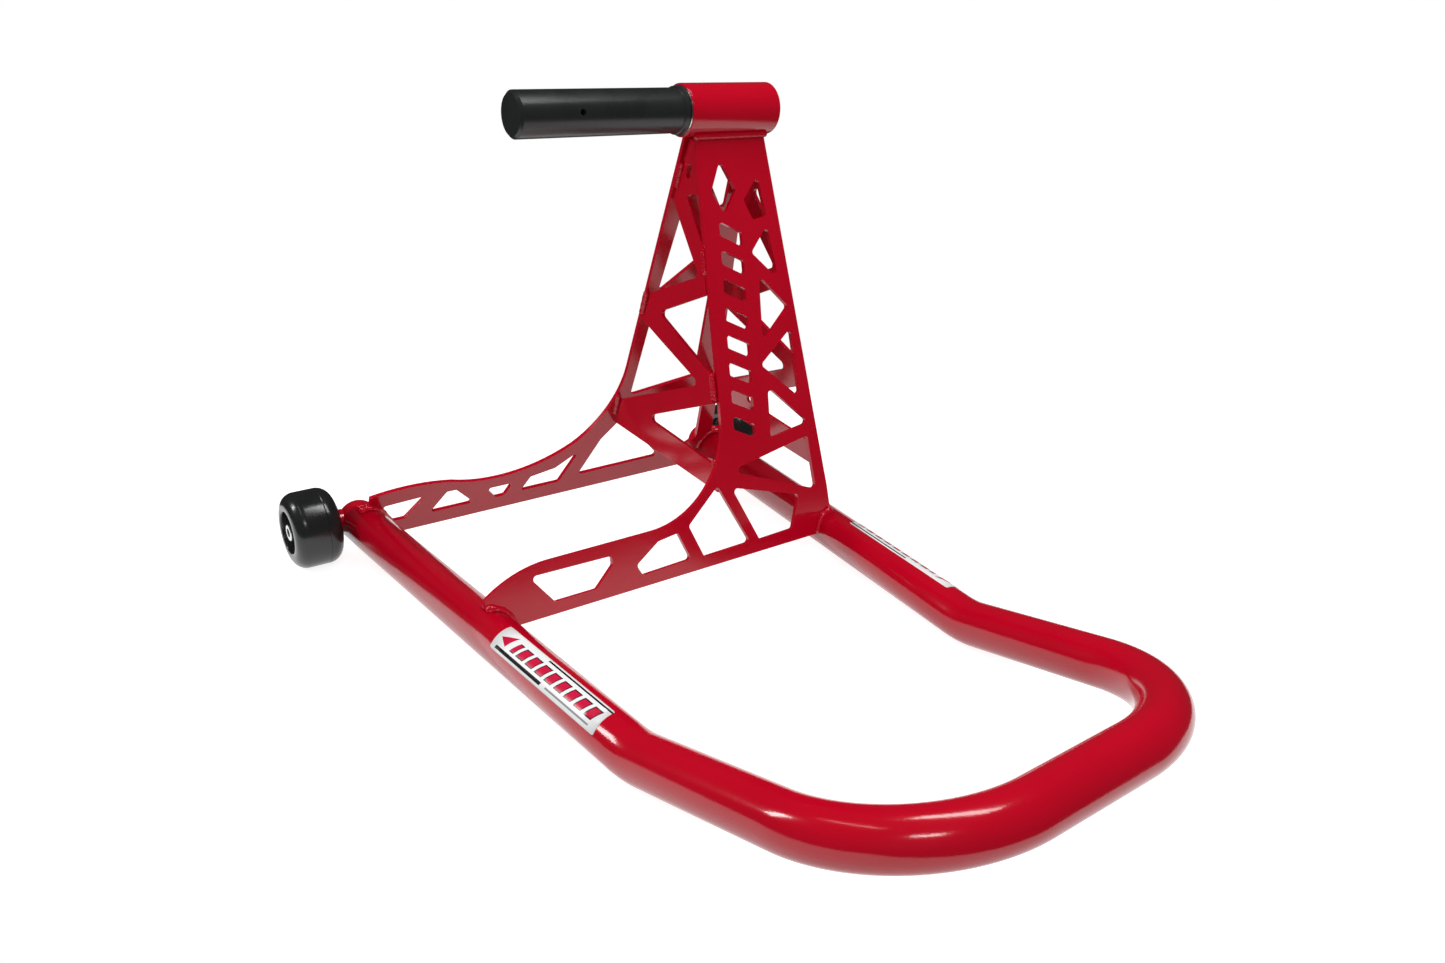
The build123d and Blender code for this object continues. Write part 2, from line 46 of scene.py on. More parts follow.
# Rear paddock stand. Sizes are in millimetres in the arm frame: both arms' axes lie in z = 0, the
# wheels' axis is at x = -42, X runs towards the bow handle and +Y towards the boss. SETTLE carries
# the arm frame onto the floor, in metres.
MM = 0.001
TILT = radians(1.8906456510658944)
SETTLE = (
    Matrix.Translation((-0.281975, 0.0, 0.031516))
    @ Matrix.Rotation(TILT, 4, "Y")
    @ Matrix.Diagonal((MM, MM, MM, 1.0))
)
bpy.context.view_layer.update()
SIDES = {"left": -1, "right": 1}

Value = Union["Sock", int, float]


class Body(str, Enum):
    """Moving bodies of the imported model."""

    FRAME = "frame"
    WHEEL_LEFT = "wheel_left_body"
    WHEEL_RIGHT = "wheel_right_body"
    LIFT_PIN = "lift_pin_body"


# ---- shader graph ----
class Sock:
    """A shader socket that takes part in Python arithmetic."""

    def __init__(self, graph: "Graph", socket: bpy.types.NodeSocket) -> None:
        """Wrap one output socket of a graph."""
        self.graph = graph
        self.socket = socket

    def _math(self, operation: str, *values: Value) -> "Sock":
        """Math node over one to three values."""
        return self.graph.value("ShaderNodeMath", {"operation": operation}, dict(enumerate(values)))

    def __add__(self, other: Value) -> "Sock":
        """Sum."""
        return self._math("ADD", self, other)

    __radd__ = __add__

    def __sub__(self, other: Value) -> "Sock":
        """Difference."""
        return self._math("SUBTRACT", self, other)

    def __rsub__(self, other: Value) -> "Sock":
        """Difference with the number first."""
        return self._math("SUBTRACT", other, self)

    def __mul__(self, other: Value) -> "Sock":
        """Product."""
        return self._math("MULTIPLY", self, other)

    __rmul__ = __mul__

    def __truediv__(self, other: Value) -> "Sock":
        """Quotient."""
        return self._math("DIVIDE", self, other)

    def above(self, limit: Value) -> "Sock":
        """1 where the value is over a limit, else 0."""
        return self._math("GREATER_THAN", self, limit)

    def below(self, limit: Value) -> "Sock":
        """1 where the value is under a limit, else 0."""
        return self._math("LESS_THAN", self, limit)

    def between(self, low: Value, high: Value) -> "Sock":
        """1 inside a band, else 0."""
        return self.above(low) * self.below(high)

    def fraction(self) -> "Sock":
        """Fractional part."""
        return self._math("FRACT", self)

    def sine(self) -> "Sock":
        """Sine of an angle in radians."""
        return self._math("SINE", self)

    def absolute(self) -> "Sock":
        """Size without sign."""
        return self._math("ABSOLUTE", self)

    def maximum(self, other: Value) -> "Sock":
        """Larger of two values."""
        return self._math("MAXIMUM", self, other)


# Socket numbers of a Mix node: its factor, its two numbers, its two colours and its colour result.
MIX_FACTOR = 0
MIX_NUMBERS = (2, 3)
MIX_COLOURS = (6, 7)
MIX_COLOUR_RESULT = 2


class Graph:
    """Node tree of one material."""

    def __init__(self, name: str) -> None:
        """Make a material with a bare Principled shader.

        Args:
            name: name of the new material.
        """
        self.material = bpy.data.materials.new(name)
        self.material.use_nodes = True
        self.tree = self.material.node_tree
        self.shader = self.tree.nodes["Principled BSDF"]

    def node(
        self,
        kind: str,
        settings: Optional[dict] = None,
        inputs: Optional[dict] = None,
    ) -> bpy.types.Node:
        """Add a node.

        Args:
            kind: the node's type name.
            settings: attributes that are set first.
            inputs: values or Socks by input name or number.

        Returns:
            The new node.
        """
        node = self.tree.nodes.new(kind)
        for key, value in (settings or {}).items():
            setattr(node, key, value)
        for key, value in (inputs or {}).items():
            self.feed(node.inputs[key], value)
        return node

    def feed(self, socket: bpy.types.NodeSocket, value: object) -> None:
        """Link a Sock into an input, or set the input's own value.

        Args:
            socket: the input.
            value: a Sock, or the plain value.
        """
        if isinstance(value, Sock):
            self.tree.links.new(value.socket, socket)
        else:
            socket.default_value = value

    def value(
        self,
        kind: str,
        settings: Optional[dict] = None,
        inputs: Optional[dict] = None,
        output: Union[int, str] = 0,
    ) -> Sock:
        """Add a node and wrap one of its outputs, by name or number."""
        return Sock(self, self.node(kind, settings, inputs).outputs[output])

    def place(self) -> Sock:
        """Object coordinates, in metres."""
        return self.value("ShaderNodeTexCoord", output="Object")

    def axes(self, vector: Sock) -> tuple[Sock, Sock, Sock]:
        """Split a vector into its three parts."""
        node = self.node("ShaderNodeSeparateXYZ", None, {0: vector})
        return tuple(Sock(self, output) for output in node.outputs)

    def mapped(self, vector: Sock, scale: tuple[float, float, float]) -> Sock:
        """Vector through a Mapping node."""
        return self.value("ShaderNodeMapping", None, {"Vector": vector, "Scale": scale})

    def noise(self, vector: Sock, scale: float, detail: float = 2.0, rough: float = 0.5) -> Sock:
        """Noise value from 0 to 1."""
        inputs = {"Vector": vector, "Scale": scale, "Detail": detail, "Roughness": rough}
        return self.value("ShaderNodeTexNoise", None, inputs)

    def mix(self, factor: Sock, low: object, high: object) -> Sock:
        """Colour between two colours."""
        inputs = dict(zip((MIX_FACTOR, *MIX_COLOURS), (factor, low, high)))
        return self.value("ShaderNodeMix", {"data_type": "RGBA"}, inputs, MIX_COLOUR_RESULT)

    def spread(self, factor: Sock, low: float, high: float) -> Sock:
        """Number between two numbers."""
        return factor * (high - low) + low

    def bump(self, height: Sock, strength: float, distance: float) -> None:
        """Feed the shader's normal from a height, with its depth in metres."""
        inputs = {"Strength": strength, "Distance": distance, "Height": height}
        self.shade(Normal=self.value("ShaderNodeBump", None, inputs))

    def shade(self, **inputs: object) -> None:
        """Set or link inputs of the Principled shader, with _ for a space."""
        for key, value in inputs.items():
            self.feed(self.shader.inputs[key.replace("_", " ")], value)


# ---- finishes ----
Colour = tuple[float, float, float, float]


def grey(level: float) -> Colour:
    """Neutral colour."""
    return (level, level, level, 1.0)


class PaintCoat(Enum):
    """How the powder paint lies."""

    SMOOTH = "smooth"
    OVER_WELD = "over_weld"


@dataclass(frozen=True)
class GlossPaint:
    """Red powder paint with a fine orange peel."""

    coat: PaintCoat = PaintCoat.SMOOTH
    colour: Colour = (0.530, 0.0006, 0.0160, 1.0)
    shade: Colour = (0.460, 0.0004, 0.0125, 1.0)
    cloud_scale: float = 14.0
    peel_scale: float = 620.0
    speck_scale: float = 2400.0
    spatter_scale: float = 260.0
    rough: tuple[float, float] = (0.09, 0.19)
    peel_bump: tuple[float, float] = (0.16, 0.00025)
    weld_bump: tuple[float, float] = (0.55, 0.0008)

    def build(self) -> bpy.types.Material:
        """Make the material.

        Returns:
            The new material.
        """
        g = Graph(f"red_paint_{self.coat.value}")
        place = g.place()
        cloud = g.noise(place, self.cloud_scale, 3.0)
        peel = g.noise(place, self.peel_scale, 2.0, 0.4)
        specks = g.noise(place, self.speck_scale, 1.0)
        g.shade(
            Base_Color=g.mix(cloud, self.shade, self.colour),
            Roughness=g.spread(specks * 0.5 + cloud * 0.5, *self.rough),
            IOR=1.5,
        )
        if self.coat is PaintCoat.OVER_WELD:
            spatter = g.noise(place, self.spatter_scale, 3.0, 0.6)
            g.bump(spatter * 0.8 + peel * 0.2, *self.weld_bump)
        else:
            g.bump(peel, *self.peel_bump)
        return g.material


@dataclass(frozen=True)
class PinCoating:
    """Satin black coating over a turned pin, with the lathe's fine rings."""

    colour: Colour = (0.0115, 0.0130, 0.0130, 1.0)
    worn: Colour = (0.0200, 0.0215, 0.0215, 1.0)
    ring_pitch: float = 0.0011
    ring_drift: float = 9.0
    cloud_scale: float = 45.0
    rough: tuple[float, float] = (0.24, 0.36)

    def build(self) -> bpy.types.Material:
        """Make the material.

        Returns:
            The new material.
        """
        g = Graph("black_pin_coating")
        place = g.place()
        along = g.axes(place)[1]
        drift = g.noise(g.mapped(place, (8.0, 90.0, 8.0)), 1.0, 2.0)
        rings = (along * (2 * pi / self.ring_pitch) + drift * self.ring_drift).sine() * 0.5 + 0.5
        cloud = g.noise(place, self.cloud_scale, 3.0)
        g.shade(
            Base_Color=g.mix(cloud, self.colour, self.worn),
            Roughness=g.spread(cloud * 0.6 + rings * 0.4, *self.rough),
            IOR=1.5,
        )
        g.bump(rings * 0.5 + g.noise(place, 900.0) * 0.5, 0.10, 0.00012)
        return g.material


@dataclass(frozen=True)
class MouldedPlastic:
    """Black moulded wheel plastic with faint flow marks."""

    colour: Colour = (0.0085, 0.0092, 0.0092, 1.0)
    scuffed: Colour = (0.0190, 0.0200, 0.0200, 1.0)
    flow_scale: float = 38.0
    grain_scale: float = 1500.0
    rough: tuple[float, float] = (0.14, 0.28)

    def build(self) -> bpy.types.Material:
        """Make the material.

        Returns:
            The new material.
        """
        g = Graph("wheel_plastic_black")
        place = g.place()
        flow = g.noise(place, self.flow_scale, 4.0, 0.6)
        grain = g.noise(place, self.grain_scale, 2.0)
        g.shade(
            Base_Color=g.mix(flow, self.colour, self.scuffed),
            Roughness=g.spread(flow * 0.7 + grain * 0.3, *self.rough),
            IOR=1.5,
        )
        g.bump(grain * 0.4 + flow * 0.6, 0.12, 0.0003)
        return g.material


@dataclass(frozen=True)
class TurnedSteel:
    """Bare or plated steel with turning marks round its Y axis."""

    name: str
    tone: float
    rough: tuple[float, float] = (0.18, 0.36)
    line_scale: tuple[float, float, float] = (60.0, 5200.0, 60.0)
    bloom_scale: float = 120.0
    bloom_dark: float = 0.86

    def build(self) -> bpy.types.Material:
        """Make the material.

        Returns:
            The new material.
        """
        g = Graph(self.name)
        place = g.place()
        lines = g.noise(g.mapped(place, self.line_scale), 1.0, 3.0, 0.6)
        bloom = g.noise(place, self.bloom_scale, 3.0)
        g.shade(
            Base_Color=g.mix(bloom, grey(self.tone * self.bloom_dark), grey(self.tone)),
            Metallic=1.0,
            Roughness=g.spread(lines * 0.6 + bloom * 0.4, *self.rough),
        )
        g.bump(lines, 0.18, 0.0001)
        return g.material


@dataclass(frozen=True)
class SealRubber:
    """Matt black bearing seal."""

    dust_scale: float = 300.0
    tones: tuple[float, float] = (0.012, 0.035)
    rough: tuple[float, float] = (0.55, 0.8)

    def build(self) -> bpy.types.Material:
        """Make the material.

        Returns:
            The new material.
        """
        g = Graph("seal_rubber_black")
        dust = g.noise(g.place(), self.dust_scale, 3.0)
        clean, dusty = self.tones
        g.shade(
            Base_Color=g.mix(dust, grey(clean), grey(dusty)),
            Roughness=g.spread(dust, *self.rough),
        )
        g.bump(dust, 0.2, 0.0001)
        return g.material


@dataclass(frozen=True)
class LabelFilm:
    """Printed white film: slanted red bars, a black bar below and a thin line above.

    Bands are (start, end) in millimetres, across the film or along its slant.
    """

    length: float = 136.0
    width: float = 23.5
    lean: float = 0.42
    pitch: float = 12.6
    bar_row: tuple[float, float] = (7.2, 17.2)
    bar_share: tuple[float, float] = (0.12, 0.86)
    core_row: tuple[float, float] = (8.1, 16.3)
    core_share: tuple[float, float] = (0.19, 0.79)
    bars_run: tuple[float, float] = (18.0, 127.0)
    tip_middle: float = 12.2
    tip_width: float = 0.5
    tip_point: float = 2.4
    tip_end: float = 11.5
    thick_row: tuple[float, float] = (2.2, 5.0)
    thick_run: tuple[float, float] = (4.0, 66.0)
    thin_row: tuple[float, float] = (20.3, 21.9)
    thin_run: tuple[float, float] = (48.0, 128.0)
    small_row: tuple[float, float] = (3.0, 4.4)
    small_run: tuple[float, float] = (72.0, 126.0)
    white: Colour = (0.86, 0.87, 0.87, 1.0)
    ink: Colour = (0.012, 0.012, 0.014, 1.0)
    red: Colour = (0.62, 0.006, 0.050, 1.0)
    small_grey: float = 0.30
    scuff_scale: float = 180.0

    def build(self) -> bpy.types.Material:
        """Make the material on the piece's own UV map, u along the film and v across it.

        Returns:
            The new material.
        """
        g = Graph("label_film_printed")
        u, v, _ = g.axes(g.value("ShaderNodeTexCoord", output="UV"))
        along = u * self.length
        across = v * self.width
        slant = along - across * self.lean
        step = (slant / self.pitch).fraction()
        run = slant.between(*self.bars_run)
        bars = across.between(*self.bar_row) * step.between(*self.bar_share) * run
        core = across.between(*self.core_row) * step.between(*self.core_share) * run
        spread = along * self.tip_width - (across - self.tip_middle).absolute()
        tip = spread.above(self.tip_point) * slant.below(self.tip_end)
        thick = across.between(*self.thick_row) * slant.between(*self.thick_run)
        thin = across.between(*self.thin_row) * slant.between(*self.thin_run)
        small = across.between(*self.small_row) * slant.between(*self.small_run)
        colour = g.mix(bars.maximum(thick).maximum(thin), self.white, self.ink)
        colour = g.mix(core.maximum(tip), colour, self.red)
        colour = g.mix(small, colour, grey(self.small_grey))
        scuff = g.noise(g.place(), self.scuff_scale, 3.0)
        g.shade(Base_Color=colour, Roughness=g.spread(scuff, 0.14, 0.30), IOR=1.46)
        g.bump(scuff, 0.04, 0.0001)
        return g.material


@dataclass(frozen=True)
class StudioFloor:
    """Plain white floor that glows a little, so that it stays white to its edge."""

    tones: tuple[float, float] = (0.46, 0.50)
    glow: float = 0.86

    def build(self) -> bpy.types.Material:
        """Make the material.

        Returns:
            The new material.
        """
        g = Graph("studio_floor_white")
        dull, clean = self.tones
        g.shade(
            Base_Color=g.mix(g.noise(g.place(), 3.0, 2.0), grey(dull), grey(clean)),
            Roughness=0.95,
            Emission_Color=grey(1.0),
            Emission_Strength=self.glow,
        )
        return g.material


class Finishes:
    """Every finish of the stand, made once."""

    def __init__(self) -> None:
        """Build the materials."""
        self.paint = GlossPaint().build()
        self.weld_paint = GlossPaint(PaintCoat.OVER_WELD).build()
        self.pin = PinCoating().build()
        self.plastic = MouldedPlastic().build()
        self.bright = TurnedSteel("bright_steel_turned", 0.78, (0.12, 0.28)).build()
        self.zinc = TurnedSteel("zinc_steel_plated", 0.66).build()
        self.rubber = SealRubber().build()
        self.film = LabelFilm().build()
        self.floor = StudioFloor().build()


# ---- mesh helpers ----
def arm_y(x: float) -> float:
    """Distance of an arm's axis from the middle plane at x."""
    return FrameTube.half_gap - x * tan(radians(FrameTube.splay))


def newest_ring(geom: list) -> list[bmesh.types.BMEdge]:
    """Edges of the ring that an extrusion or a spin has just made.

    Args:
        geom: what the operator returned.

    Returns:
        The edges whose two ends are both new.
    """
    verts = {item for item in geom if isinstance(item, bmesh.types.BMVert)}
    edges = [item for item in geom if isinstance(item, bmesh.types.BMEdge)]
    return [edge for edge in edges if set(edge.verts) <= verts]


def extrude_ring(bm: bmesh.types.BMesh, edges: list) -> tuple[list, list]:
    """Extrude a ring of edges in place.

    Args:
        bm: mesh to add to.
        edges: the ring.

    Returns:
        The new ring's vertices and edges.
    """
    made = bmesh.ops.extrude_edge_only(bm, edges=edges)["geom"]
    return [item for item in made if isinstance(item, bmesh.types.BMVert)], newest_ring(made)


def circle_edges(bm: bmesh.types.BMesh, segments: int, radius: float, place: Matrix) -> list:
    """Make an open circle.

    Args:
        bm: mesh to add to.
        segments: number of sides.
        radius: distance of the corners from the centre.
        place: matrix onto the circle's place.

    Returns:
        The circle's edges.
    """
    made = bmesh.ops.create_circle(bm, segments=segments, radius=radius, matrix=place)["verts"]
    return list({edge for vert in made for edge in vert.link_edges})


def sweep(bm: bmesh.types.BMesh, stations: list[Matrix], sides: int) -> None:
    """Extrude a closed ring through a row of placed, scaled frames and cap both ends.

    Args:
        bm: mesh to add to.
        stations: frames of the unit ring along the way.
        sides: facets of the ring.
    """
    edges = circle_edges(bm, sides, 1.0, stations[0])
    first = list(edges)
    for before, after in zip(stations, stations[1:]):
        verts, edges = extrude_ring(bm, edges)
        bmesh.ops.transform(bm, matrix=after @ before.inverted(), verts=verts)
    bmesh.ops.holes_fill(bm, edges=first + edges, sides=0)


def round_segments(size: float, fewest: int = 3, most: int = 10) -> int:
    """Segments that suit a rounding of this size in millimetres."""
    return max(fewest, min(most, int(size * 1.2) + 2))


def spin_about_y(
    bm: bmesh.types.BMesh, profile: list[tuple[float, float, float]], steps: int
) -> None:
    """Turn a closed profile about the Y axis.

    Args:
        bm: mesh to add to.
        profile: corners as (radius, y, rounding), where a sharp corner has no rounding.
        steps: facets of the full turn.
    """
    verts = [bm.verts.new((radius, y, 0.0)) for radius, y, _ in profile]
    bm.faces.new(verts)
    for vert, (_, _, size) in zip(verts, profile):
        if size:
            bmesh.ops.bevel(
                bm,
                geom=[vert],
                offset=size,
                offset_type="OFFSET",
                affect="VERTICES",
                segments=round_segments(size),
                profile=0.5,
                material=-1,
            )
    bmesh.ops.delete(bm, geom=bm.faces[:], context="FACES_ONLY")
    bmesh.ops.spin(
        bm,
        geom=bm.verts[:] + bm.edges[:],
        cent=(0.0, 0.0, 0.0),
        axis=(0.0, 1.0, 0.0),
        angle=2 * pi,
        steps=steps,
        use_merge=True,
    )


@dataclass
class Piece:
    """A finished object of the visual model."""

    name: str
    body: Body
    slot: str
    material: bpy.types.Material
    replaces: tuple[str, ...] = ()
    sharp: float = 32.0
    merge: float = 2e-6

    def make(
        self,
        bm: bmesh.types.BMesh,
        settle: Optional[Matrix] = SETTLE,
        recalc: bool = True,
    ) -> bpy.types.Object:
        """Turn a bmesh into the piece's object.

        Args:
            bm: the mesh, which is freed.
            settle: matrix from the mesh's frame to the floor frame.
            recalc: whether normals are worked out again.

        Returns:
            The object, riding on its body.
        """
        if settle is not None:
            bmesh.ops.transform(bm, matrix=settle, verts=bm.verts[:])
        if recalc:
            bmesh.ops.remove_doubles(bm, verts=bm.verts[:], dist=self.merge)
            bmesh.ops.recalc_face_normals(bm, faces=bm.faces[:])
        mesh = bpy.data.meshes.new(self.name)
        bm.to_mesh(mesh)
        bm.free()
        mesh.materials.append(self.material)
        mesh.shade_smooth()
        mesh.set_sharp_from_angle(angle=radians(self.sharp))
        piece = bpy.data.objects.new(self.name, mesh)
        bpy.context.scene.collection.objects.link(piece)
        if self.replaces:
            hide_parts(*self.replaces)
        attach(piece, self.body.value)
        log.info("%s: %d faces", self.name, len(mesh.polygons))
        return piece


def flat_normals(piece: bpy.types.Object, weight: int = 80) -> None:
    """Keep large flat faces flat beside their rounded edges.

    Args:
        piece: the finished piece.
        weight: how far a face's area counts.
    """
    weighted = piece.modifiers.new("flat_faces", "WEIGHTED_NORMAL")
    weighted.keep_sharp = True
    weighted.weight = weight


def dress(names: Iterable[str], material: bpy.types.Material) -> None:
    """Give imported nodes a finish.

    Args:
        names: the nodes' names.
        material: the finish.
    """
    for name in names:
        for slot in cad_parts[name].material_slots:
            slot.material = material
        log.info("%s: dressed with %s", name, material.name)


# ---- bent tube ----
@dataclass
class FrameTube:
    """One bent tube: two arms, two upward bends and the bow handle."""

    finishes: Finishes
    radius: float = 19.0
    wall: float = 2.6
    half_gap: float = 196.1
    splay: float = 4.64
    start_x: float = -34.0
    kick_x: float = 391.0
    kick: float = 16.6
    kick_radius: float = 90.0
    reach: float = 239.3
    corner_radius: float = 107.0
    sides: int = 72
    kick_steps: int = 14
    corner_steps: int = 40

    def corners(self) -> list[Vector]:
        """Corner points of the tube's axis.

        Returns:
            The points, from the right arm's end to the left's.
        """
        bend_y = arm_y(self.kick_x)
        lift = radians(self.kick)
        corner = Vector(
            (
                self.kick_x + self.reach * cos(lift),
                bend_y - self.reach * tan(radians(self.splay)),
                self.reach * sin(lift),
            )
        )
        start = Vector((self.start_x, arm_y(self.start_x), 0.0))
        right = [start, Vector((self.kick_x, bend_y, 0.0)), corner]
        left = [Vector((p.x, -p.y, p.z)) for p in reversed(right)]
        return right + left

    def _bend(
        self,
        bm: bmesh.types.BMesh,
        edges: list,
        place: Vector,
        ways: tuple[Vector, Vector],
        radius: float,
        steps: int,
    ) -> list:
        """Spin the ring round one bend.

        Args:
            bm: mesh to add to.
            edges: the ring.
            place: where the tube's axis enters the bend.
            ways: directions before and after it.
            radius: bend radius of the axis.
            steps: facets along the bend.

        Returns:
            The ring's edges at the bend's end.
        """
        axis = ways[0].cross(ways[1]).normalized()
        verts = list({vert for edge in edges for vert in edge.verts})
        made = bmesh.ops.spin(
            bm,
            geom=edges + verts,
            cent=place + axis.cross(ways[0]) * radius,
            axis=axis,
            angle=ways[0].angle(ways[1]),
            steps=steps,
        )["geom_last"]
        return newest_ring(made)

    def build(self) -> None:
        """Sweep the tube and give it its wall."""
        bm = bmesh.new()
        points = self.corners()
        ways = [(b - a).normalized() for a, b in zip(points, points[1:])]
        radii = [self.kick_radius, self.corner_radius, self.corner_radius, self.kick_radius]
        steps = [self.kick_steps, self.corner_steps, self.corner_steps, self.kick_steps]
        turn = ways[0].to_track_quat("Z", "Y").to_matrix().to_4x4()
        here = points[0]
        edges = circle_edges(bm, self.sides, self.radius, Matrix.Translation(here) @ turn)
        for number, radius in enumerate(radii):
            trim = radius * tan(ways[number].angle(ways[number + 1]) / 2)
            stop = points[number + 1] - ways[number] * trim
            verts, edges = extrude_ring(bm, edges)
            bmesh.ops.translate(bm, verts=verts, vec=stop - here)
            pair = (ways[number], ways[number + 1])
            edges = self._bend(bm, edges, stop, pair, radius, steps[number])
            here = points[number + 1] + ways[number + 1] * trim
        verts, _ = extrude_ring(bm, edges)
        bmesh.ops.translate(bm, verts=verts, vec=points[-1] - here)
        paint = self.finishes.paint
        piece = Piece("bent_tube", Body.FRAME, "red_paint", paint, ("frame_tube",)).make(bm)
        wall = piece.modifiers.new("tube_wall", "SOLIDIFY")
        wall.thickness = self.wall * MM
        wall.offset = -1.0
        for side in SIDES:
            dress(["arm_end_plug_" + side, "axle_collar_" + side], paint)


# ---- cut plates ----
@dataclass
class CutPlates:
    """The two web plates and the side lattices, with broken edges."""

    finishes: Finishes
    edge_break: float = 0.45
    merge: float = 0.004
    flat_turn: float = 1.0
    sharp_turn: float = 50.0

    def build(self) -> None:
        """Break the edges of each plate."""
        names = {
            "front_web_plate": "front_plate_cut",
            "rear_web_plate": "rear_plate_cut",
            "side_lattice_left": "lattice_left_cut",
            "side_lattice_right": "lattice_right_cut",
        }
        for node, name in names.items():
            self._plate(node, name)

    def _plate(self, node: str, name: str) -> None:
        """Merged copy of one plate with small rounds along its cut edges.

        Args:
            node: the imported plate.
            name: the new piece's name.
        """
        bm = bmesh.new()
        bm.from_mesh(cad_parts[node].data)
        bmesh.ops.remove_doubles(bm, verts=bm.verts[:], dist=self.merge * MM)
        bmesh.ops.dissolve_limit(
            bm, angle_limit=radians(self.flat_turn), verts=bm.verts[:], edges=bm.edges[:]
        )
        corner = radians(self.sharp_turn)
        rims = [e for e in bm.edges if e.is_manifold and e.calc_face_angle(0.0) > corner]
        bmesh.ops.bevel(
            bm,
            geom=rims,
            offset=self.edge_break * MM,
            offset_type="OFFSET",
            affect="EDGES",
            segments=2,
            profile=0.5,
            material=-1,
            clamp_overlap=True,
            loop_slide=True,
        )
        piece = Piece(name, Body.FRAME, "red_paint", self.finishes.paint, (node,))
        flat_normals(piece.make(bm, settle=None, recalc=False))


# ---- weld beads ----
@dataclass
class WeldBeads:
    """Rippled beads under the boss, round the arms and along the lattice."""

    finishes: Finishes
    ripple: float = 2.1
    depth: float = 0.13
    wobble: float = 0.04
    wobble_pace: float = 1.7
    end_size: float = 0.35
    end_growth: float = 2.2
    look_ahead: float = 0.01
    sides: int = 14
    steps_per_ripple: int = 4
    fewest_steps: int = 8
    boss_x: float = 97.0
    boss_z: float = 378.7
    front_x: float = 202.0
    rear_x: float = -27.0
    plate_top_offset: float = 10.0
    boss_radius: float = 21.7
    thickness: float = 4.0
    boss_bead: float = 3.3
    boss_runs: tuple = ((1, 62.0, 139.5), (-1, 67.0, 141.5))
    boss_proud: float = 1.5
    boss_sunk: float = 0.6
    arm_bead: float = 3.0
    arm_proud: float = 0.9
    arm_gap: float = 0.5
    arm_first: float = 2.0
    front_ends: tuple[float, float] = (97.0, 90.0)
    rear_ends: tuple[float, float] = (112.0, 108.0)
    blob: float = 1.9
    blob_start: float = 0.72
    blob_power: float = 0.7
    node_bead: float = 3.0
    node_length: float = 25.0
    node_proud: float = 0.8
    node_shift: float = -1.4
    rear_nodes: tuple = ((72, 321.5), (64.5, 197.5), (58, 83.5))
    front_nodes: tuple = ((64.5, 258), (60.5, 152), (54, 78))

    def boss_drop(self) -> float:
        """Depth of the plates' top edges under the boss's axis."""
        return self.boss_radius * cos(asin(self.plate_top_offset / self.boss_radius))

    def leans(self) -> tuple[float, float]:
        """Lean of the front and rear plates from the upright, in radians.

        Returns:
            The front plate's lean and the rear plate's.
        """
        rise = self.boss_z - self.boss_drop()
        front = atan((self.front_x - self.boss_x - self.plate_top_offset) / rise)
        return front, atan((self.boss_x - self.plate_top_offset - self.rear_x) / rise)

    def bead(
        self,
        bm: bmesh.types.BMesh,
        route: Callable[[float], Vector],
        length: float,
        radius: Callable[[float], float],
    ) -> None:
        """Sweep one rippled bead.

        Args:
            bm: mesh to add to.
            route: centre at a share of the way, from 0 to 1.
            length: length of the route.
            radius: bead radius at a share of the way.
        """
        count = max(self.fewest_steps, int(length / self.ripple * self.steps_per_ripple))
        look = self.look_ahead
        stations = []
        for number in range(count + 1):
            share = number / count
            ahead = route(min(1.0, share + look)) - route(max(0.0, share - look))
            phase = share * length / self.ripple
            wave = 1.0 - self.depth * (phase - int(phase))
            wave += self.wobble * sin(phase * self.wobble_pace)
            from_end = min(share, 1.0 - share) * length / (radius(share) * 2)
            size = radius(share) * wave * min(1.0, self.end_size + self.end_growth * from_end)
            turn = ahead.to_track_quat("Z", "Y").to_matrix().to_4x4()
            spread = Matrix.Diagonal((size, size, 1.0, 1.0))
            stations.append(Matrix.Translation(route(share)) @ turn @ spread)
        sweep(bm, stations, self.sides)

    def build(self) -> None:
        """Make all beads."""
        self._under_boss()
        self._round_arms()
        self._on_lattices()

    def _piece(self, name: str, bm: bmesh.types.BMesh, node: str) -> None:
        """Finish one group of beads."""
        paint = self.finishes.weld_paint
        Piece(name, Body.FRAME, "red_paint", paint, (node,), sharp=60.0).make(bm)

    def _under_boss(self) -> None:
        """Two long beads between the boss and the plates' tops."""
        bm = bmesh.new()
        z = self.boss_z - self.boss_drop() - self.boss_sunk
        for direction, start, end in self.boss_runs:
            x = self.boss_x + direction * (self.plate_top_offset + self.boss_proud)

            def route(share: float) -> Vector:
                """Straight line along the boss."""
                return Vector((x, start + (end - start) * share, z))

            self.bead(bm, route, end - start, lambda share: self.boss_bead)
        self._piece("boss_weld_ripples", bm, "boss_weld_beads")

    def _arm_radius(self, share: float) -> float:
        """Radius of a bead that ends in a fat blob on the outboard corner."""
        past = max(0.0, (share - self.blob_start) / (1.0 - self.blob_start))
        return self.arm_bead + self.blob * past**self.blob_power

    def _round_arms(self) -> None:
        """Beads that climb over both arms, on each face of both plates."""
        bm = bmesh.new()
        front, rear = self.leans()
        plates = (
            (self.front_x, Vector((cos(front), 0, sin(front))), self.front_ends),
            (self.rear_x, Vector((cos(rear), 0, -sin(rear))), self.rear_ends),
        )
        splay = radians(FrameTube.splay)
        for x, normal, ends in plates:
            for offset in (self.arm_proud, -self.thickness - self.arm_proud):
                for side, end in zip(SIDES.values(), ends):
                    axis = Vector((cos(splay), -side * sin(splay), 0.0))
                    inboard = Vector((-sin(splay), -side * cos(splay), 0.0))
                    foot = Vector((x, side * arm_y(x), 0.0))
                    plane = Vector((x, 0.0, 0.0)) + normal * offset

